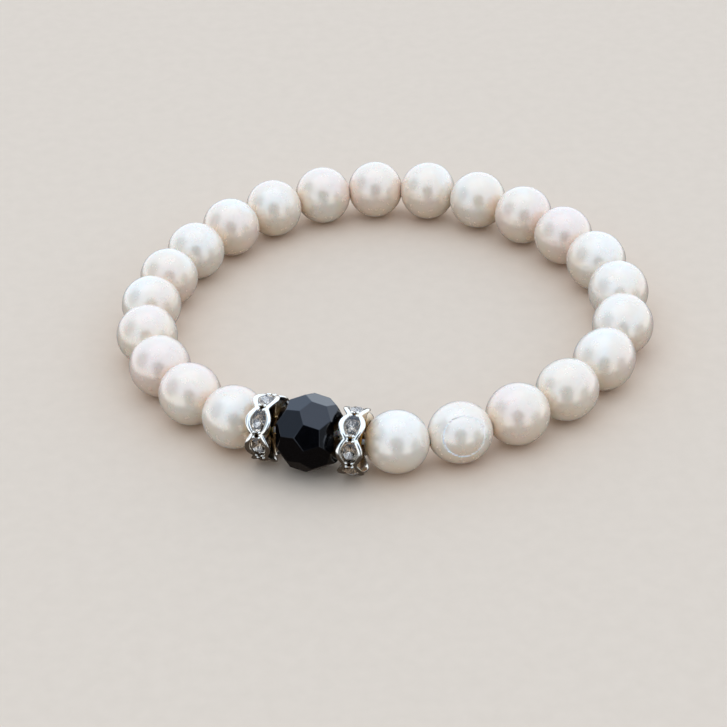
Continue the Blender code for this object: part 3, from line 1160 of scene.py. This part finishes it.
    def setting(self) -> bpy.types.Object:
        """Model the silver setting in its own frame.

        Returns:
            The setting.
        """
        upper = self.hub_points() + [(row.radius, row.height) for row in self.rim_rows()]
        lower = [(radius, -height) for radius, height in reversed(upper)]
        piece = self.draw_profile(upper + lower)
        piece.name = "setting_model"
        hub_centre = (0.0, 0.0, 0.0)
        bpy.ops.object.mode_set(mode="OBJECT")
        settle(piece, Matrix.Rotation(self.sector() / 2, 4, "Z"))
        start_edit(piece)
        bpy.ops.mesh.select_all(action="SELECT")
        bpy.ops.mesh.spin(steps=self.steps, angle=self.sector(), center=hub_centre, axis=(0, 0, 1))
        self.open_rims(piece)
        self.add_prongs()
        bpy.ops.mesh.select_all(action="SELECT")
        others = self.crystals - 1
        bpy.ops.mesh.spin(
            steps=others, dupli=True, angle=self.sector() * others, center=hub_centre, axis=(0, 0, 1))
        bpy.ops.mesh.select_all(action="SELECT")
        bpy.ops.mesh.remove_doubles(threshold=0.003 * MM)
        bpy.ops.mesh.normals_make_consistent(inside=False)
        bpy.ops.object.mode_set(mode="OBJECT")
        bpy.ops.object.shade_smooth_by_angle(angle=math.radians(55))
        # Shade is painted into the hollows: this attribute is 0 there and grows to 1 towards the rims, by
        # radius alone.
        hollow_shade_fade = piece.data.attributes.new("hollow_shade_fade", "FLOAT", "POINT")
        for vertex, value in zip(piece.data.vertices, hollow_shade_fade.data):
            value.value = (vertex.co.xy.length / self.radius - self.shade_fade_from) / self.shade_fade_over
        return piece

    def place(self, nodes: Sequence[bpy.types.Object]) -> Matrix:
        """Find where a rondelle lies from its crystals' nodes.

        Args:
            nodes: The nodes of its crystals, in order round it.

        Returns:
            The rondelle's frame.
        """
        centres = [middle(node_points(node)) for node in nodes]
        centre = middle(centres)
        arms = [point - centre for point in centres]
        axis = sum((arm.cross(after) for arm, after in zip(arms, arms[1:] + arms[:1])), Vector())
        return frame_on(axis, arms[0], centre)

    def build(self, nodes: dict[str, bpy.types.Object], sides: Sequence[Side]) -> list[bpy.types.Object]:
        """Build and dress the rondelles.

        Args:
            nodes: The CAD nodes by name.
            sides: Which rondelles to build.

        Returns:
            The finished settings and crystals.
        """
        setting = self.setting()
        crystal = self.crystal.model()
        plate = self.plate.material()
        pieces = []
        girdle = self.radius - self.crystal_sink
        for side in sides:
            seats = [nodes[f"crystal_{side.value}_{number}"] for number in range(1, self.crystals + 1)]
            place = self.place(seats)
            metal = copy_piece(setting, f"setting_{side.value}", place)
            metal.data.materials.append(plate)
            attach(metal, "root")
            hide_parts(f"rondelle_{side.value}")
            pieces.append(metal)
            for number, seat in enumerate(seats):
                turned = (Matrix.Rotation(self.sector() * number, 4, "Z")
                          @ Matrix.Translation((girdle, 0, 0)) @ Matrix.Rotation(math.pi / 2, 4, "Y"))
                gem = copy_piece(crystal, f"{seat.name}_cut", place @ turned)
                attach(gem, "root")
                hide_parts(seat.name)
                pieces.append(gem)
        remove_model(setting)
        remove_model(crystal)
        return pieces


@dataclass
class ElasticCord:
    """The stretch cord through all the holes, whose CAD shape is right and only gets its finish."""

    elastic: StretchElastic = field(default_factory=StretchElastic)

    def dress(self, node: bpy.types.Object) -> bpy.types.Object:
        """Give the cord's node its material."""
        node.data.materials.clear()
        node.data.materials.append(self.elastic.material())
        return node


@dataclass(frozen=True)
class RoomPatch:
    """A softly edged part of the room that is dimmer than the rest.

    Attributes:
        direction: Where it lies, as seen from the bracelet.
        inner: How far from there it is full, in degrees.
        outer: How far from there it has faded out, in degrees.
        level: Its brightness against the rest.
    """

    direction: tuple[float, float, float]
    inner: float
    outer: float
    level: float


@dataclass
class Studio:
    """The pale floor, the soft light and the camera.

    The world is bright and cool overhead and at the horizon and dark below it, and the floor stays out of
    mirror reflections, so polished pieces mirror a dark ground while the pearls get the floor's soft light.

    Attributes:
        pitch: How far the camera looks down, in degrees.
        roll: How far it is tilted, in degrees.
        distance: From the camera to the point that it looks at.
        target: The point on the floor that it looks at.
        focal: Its focal length in pixels of the picture.
        picture: The picture's width in pixels.
        sensor: The camera's sensor width in millimetres.
        floor_radius: How far the floor reaches.
        brightness: How bright the world is.
        dome: The world's colours from straight down, at 0, to straight up, at 1.
        patches: Where the world is dimmer.
        lamp_place: Where the lamp hangs.
        lamp_size: Its width and depth.
        lamp_power: Its power in watts.
        lamp_colour: Its colour.
        paper: The floor's finish.
    """

    pitch: float = 33.52
    roll: float = -3.0
    distance: float = 0.30896
    target: Vector = field(default_factory=lambda: Vector((-0.00305, -0.00757, 0.0)))
    focal: float = 2377.0
    picture: float = 727.0
    sensor: float = 36.0
    floor_radius: float = 0.9
    brightness: float = 1.74
    dome: tuple[tuple[float, str], ...] = (
        (0.0, "#322d29"),
        (0.36, "#322d29"),
        (0.44, "#dce8f6"),
        (0.5, "#dce8f6"),
        (0.6, "#cddcf0"),
        (0.8, "#c5dcfa"),
        (1.0, "#cfe3ff"),
    )
    patches: tuple[RoomPatch, ...] = (
        RoomPatch((0.0, -0.88, 0.47), 13.0, 28.0, 0.05),
        RoomPatch((0.02, -0.99, 0.06), 10.0, 26.0, 0.10),
        RoomPatch((0.90, -0.44, 0.0), 6.0, 26.0, 0.2),
        RoomPatch((-0.88, -0.05, 0.47), 10.0, 34.0, 0.4),
        RoomPatch((0.27, -0.05, 0.96), 16.0, 50.0, 0.96),
    )
    lamp_place: Vector = field(default_factory=lambda: Vector((-0.05, 0.12, 0.62)))
    lamp_size: tuple[float, float] = (0.7, 0.5)
    lamp_power: float = 0.3
    lamp_colour: str = "#f4f7ff"
    paper: PaleStudioFloor = field(default_factory=PaleStudioFloor)

    def floor(self) -> bpy.types.Object:
        """Lay the floor.

        Returns:
            The floor.
        """
        deselect_all()
        bpy.ops.mesh.primitive_circle_add(vertices=96, radius=self.floor_radius, fill_type="NGON")
        piece = bpy.context.object
        piece.name = "studio_floor"
        start_edit(piece, "FACE")
        bpy.ops.mesh.select_all(action="SELECT")
        bpy.ops.mesh.inset(thickness=self.floor_radius * 5 / 9, depth=0.0)
        bpy.ops.object.mode_set(mode="OBJECT")
        piece.data.materials.append(self.paper.material())
        piece.visible_glossy = False
        return piece

    def camera(self) -> bpy.types.Object:
        """Set up the camera at the photograph's angle.

        Returns:
            The camera.
        """
        pitch = math.radians(self.pitch)
        roll = math.radians(self.roll)
        back = Vector((0.0, -math.cos(pitch), math.sin(pitch)))
        right = Vector((1.0, 0.0, 0.0))
        up = back.cross(right)
        tilted_right = right * math.cos(roll) + up * math.sin(roll)
        tilted_up = up * math.cos(roll) - right * math.sin(roll)
        data = bpy.data.cameras.new("studio_camera")
        data.sensor_width = self.sensor
        data.lens = self.focal * self.sensor / self.picture
        data.clip_start = 0.01
        data.clip_end = 10.0
        camera = bpy.data.objects.new("studio_camera", data)
        bpy.context.collection.objects.link(camera)
        place = Matrix((tilted_right, tilted_up, back)).transposed().to_4x4()
        place.translation = self.target + back * self.distance
        camera.matrix_world = place
        bpy.context.scene.camera = camera
        return camera

    def sky(self) -> None:
        """Make the room: its dome of light, dimmed where the patches lie."""
        world = bpy.data.worlds.new("studio_room")
        world.use_nodes = True
        bpy.context.scene.world = world
        tree = world.node_tree
        tree.nodes.clear()
        way = add_node(tree, "ShaderNodeTexCoord")
        split = add_node(tree, "ShaderNodeSeparateXYZ", links={"Vector": (way, "Generated")})
        height = add_node(
            tree, "ShaderNodeMapRange",
            inputs={"From Min": -1.0, "From Max": 1.0},
            links={"Value": (split, "Z")},
        )
        dome = add_node(tree, "ShaderNodeValToRGB", links={"Fac": (height, "Result")})
        set_ramp(dome, self.dome)
        level = None
        for patch in self.patches:
            facing = add_node(
                tree, "ShaderNodeVectorMath",
                settings={"operation": "DOT_PRODUCT"},
                inputs={1: Vector(patch.direction).normalized()},
                links={0: (way, "Generated")},
            )
            shade = add_node(
                tree, "ShaderNodeMapRange",
                settings={"interpolation_type": "SMOOTHERSTEP"},
                inputs={
                    "From Min": math.cos(math.radians(patch.outer)),
                    "From Max": math.cos(math.radians(patch.inner)),
                    "To Min": 1.0,
                    "To Max": patch.level,
                },
                links={"Value": (facing, "Value")},
            )
            if level is None:
                level = (shade, "Result")
            else:
                both = add_node(
                    tree, "ShaderNodeMath",
                    settings={"operation": "MULTIPLY"},
                    links={0: level, 1: (shade, "Result")},
                )
                level = (both, "Value")
        strength = add_node(
            tree, "ShaderNodeMath",
            settings={"operation": "MULTIPLY"},
            inputs={1: self.brightness},
            links={0: level},
        )
        light = add_node(
            tree, "ShaderNodeBackground",
            links={"Color": (dome, "Color"), "Strength": (strength, "Value")},
        )
        add_node(tree, "ShaderNodeOutputWorld", links={"Surface": (light, "Background")})

    def lamp(self) -> bpy.types.Object:
        """Hang one large soft light overhead, facing the bracelet.

        Returns:
            The lamp.
        """
        data = bpy.data.lights.new("overhead_softbox", "AREA")
        data.shape = "RECTANGLE"
        data.size, data.size_y = self.lamp_size
        data.energy = self.lamp_power
        data.color = hex_colour(self.lamp_colour)[:3]
        lamp = bpy.data.objects.new("overhead_softbox", data)
        bpy.context.collection.objects.link(lamp)
        lamp.location = self.lamp_place
        lamp.rotation_euler = (-self.lamp_place).to_track_quat("-Z", "Y").to_euler()
        return lamp

    def build(self) -> None:
        """Build the whole studio."""
        self.floor()
        self.camera()
        self.sky()
        self.lamp()
        bpy.context.scene.view_settings.view_transform = "Standard"


def measure_pearls(nodes: dict[str, bpy.types.Object]) -> list[Pearl]:
    """Measure the pearls in their order on the string.

    Args:
        nodes: The CAD nodes by name.

    Returns:
        The measured pearls.
    """
    beads = sorted(name for name in nodes if name.startswith("pearl_"))
    names = ["rondelle_right", *beads, "rondelle_left"]
    centres = [middle(node_points(nodes[name])) for name in names]
    pearls = []
    for place, name in enumerate(names[1:-1], start=1):
        axis = centres[place + 1] - centres[place - 1]
        pearls.append(Pearl.measured(nodes[name], axis, DRILL_HOLE))
    return pearls


def main() -> None:
    """Dress the bracelet and set up the studio."""
    logging.basicConfig(level=logging.INFO, format="%(name)s: %(message)s")
    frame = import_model()
    nodes = frame["nodes"]
    Studio().build()
    pieces = PearlString().build(measure_pearls(nodes))
    log.info("pearls: %d", len(pieces))
    bead = BlackGlassBead().build(nodes["black_bead"])
    log.info("%s: %d faces", bead.name, len(bead.data.polygons))
    settings = Rondelle().build(nodes, list(Side))
    log.info("rondelles: %d pieces", len(settings))
    log.info("%s: dressed", ElasticCord().dress(nodes["elastic_cord"]).name)


if __name__ == "__main__":
    main()
